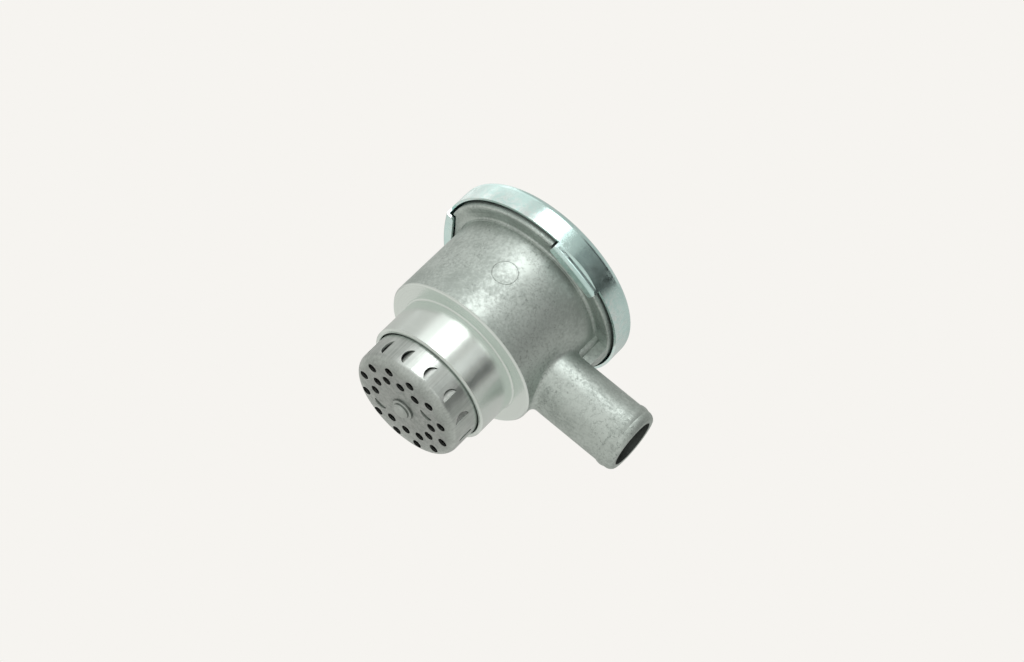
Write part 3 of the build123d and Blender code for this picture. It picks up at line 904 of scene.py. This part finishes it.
floor_top = mix_shaders(tree, glow_share, floor_paper.outputs[0], floor_glow.outputs[0])
floor_open = math_node(tree, "MAXIMUM", spot["Backfacing"], path["Is Shadow Ray"])
floor_clear = add_node(tree, "ShaderNodeBsdfTransparent")
floor_shader = mix_shaders(tree, floor_open, floor_top, floor_clear.outputs[0])
link(tree, floor_shader, add_node(tree, "ShaderNodeOutputMaterial").inputs["Surface"])
print("finish:", floor_finish.name)

# %% Floor
FLOOR_HALF = 4.0

floor_builder = bmesh.new()
bmesh.ops.create_grid(floor_builder, x_segments=1, y_segments=1, size=FLOOR_HALF)
bmesh.ops.translate(floor_builder, verts=floor_builder.verts, vec=(0, 0, cad_box[0][2]))
floor = new_piece("floor", floor_builder, floor_finish, smooth=False)

# %% [markdown]
# ## Sky
# The world is a plain pale studio. One even brightness for everything would either wash the
# metal out or leave the backdrop grey, so the ray decides: the camera sees the full paper
# colour, mirrors see it dimmer, and everything else gets a soft white light.

# %% Sky
SKY_WHITE = (1.0, 1.0, 0.99)
SKY_LIGHT_STRENGTH = 0.55
SKY_MIRRORED_STRENGTH = 0.63

world = bpy.data.worlds.new("studio")
scene.world = world
world.use_nodes = True
tree = world.node_tree
tree.nodes.clear()
sky_light, sky_mirrored, sky_seen = (
    add_node(tree, "ShaderNodeBackground", Color=(*color, 1.0), Strength=strength).outputs[0]
    for color, strength in (
        (SKY_WHITE, SKY_LIGHT_STRENGTH), (PAPER, SKY_MIRRORED_STRENGTH), (PAPER, 1.0),
    )
)
path = add_node(tree, "ShaderNodeLightPath").outputs
sky = mix_shaders(tree, path["Is Glossy Ray"], sky_light, sky_mirrored)
sky_shown = math_node(tree, "MAXIMUM", path["Is Camera Ray"], path["Is Transmission Ray"])
sky = mix_shaders(tree, sky_shown, sky, sky_seen)
link(tree, sky, add_node(tree, "ShaderNodeOutputWorld").inputs["Surface"])
print("sky:", world.name)

# %% [markdown]
# ## Lamps and dark cards
# Point lamps would give metal hard white dots. Large soft lamps give the long highlights that
# turned and plated metal shows, and two dark cards give the cap and the spigot the dark bands
# that make them read as polished metal. Both kinds are placed round the part by azimuth,
# elevation and distance, and face it.


# %% Lamps
def aimed_matrix(azimuth, elevation, distance):
    """Places something round the part, facing it: angles in degrees, distance in metres."""
    away = direction(azimuth, elevation)
    turn = away.to_track_quat("Z", "Y").to_matrix().to_4x4()
    return Matrix.Translation(AIM + away * distance) @ turn


def softbox(name, azimuth, elevation, distance, width, height, radiance, mirrored=True):
    """A rectangular area lamp; radiance 1 mirrors as paper white."""
    data = bpy.data.lights.new(name, "AREA")
    data.shape = "RECTANGLE"
    data.size = width
    data.size_y = height
    data.energy = radiance * pi * width * height
    lamp = bpy.data.objects.new(name, data)
    lamp.matrix_world = aimed_matrix(azimuth, elevation, distance)
    lamp.visible_glossy = mirrored
    scene.collection.objects.link(lamp)
    print("lamp:", name)


# name, azimuth and elevation, distance, width and height, radiance
softbox("key_strip", -104, 27, 1.0, 0.45, 0.5, 3.2)
softbox("key_low", -131, 13, 1.2, 0.5, 0.52, 0.8)
softbox("panel_left", -166, 39, 1.2, 0.99, 0.52, 0.5)
softbox("panel_back", 148, 39, 1.2, 0.99, 0.52, 0.5)
softbox("lift_low", -58, 12.5, 1.2, 0.36, 0.42, 0.95)
softbox("fill_front", -104, -32, 1.3, 0.9, 0.8, 1.1)
softbox("top_light", 60, 70, 1.4, 1.2, 1.2, 1.6, mirrored=False)

# %% Dark cards
CARD_BLACK = (0.02, 0.022, 0.022, 1.0)

card_finish = bpy.data.materials.new("card_black")
card_finish.use_nodes = True
card_shader = card_finish.node_tree.nodes["Principled BSDF"]
card_shader.inputs["Base Color"].default_value = CARD_BLACK
card_shader.inputs["Roughness"].default_value = 1.0


def dark_card(name, azimuth, elevation, distance, width, height):
    """A matt black card that only reflections see."""
    builder = bmesh.new()
    bmesh.ops.create_grid(builder, x_segments=1, y_segments=1, size=0.5)
    bmesh.ops.scale(builder, vec=(width, height, 1), verts=builder.verts)
    card = new_piece(name, builder, card_finish, smooth=False)
    card.matrix_world = aimed_matrix(azimuth, elevation, distance)
    card.visible_camera = False
    card.visible_diffuse = False
    card.visible_shadow = False


# name, azimuth and elevation, distance, width and height
dark_card("card_right", -38, 39, 1.1, 0.95, 0.5)
dark_card("card_low", -27, 14, 1.1, 0.3, 0.38)

# %% [markdown]
# ## Finish
# The standard view transform keeps colours as written.

# %% Finish
scene.view_settings.view_transform = "Standard"
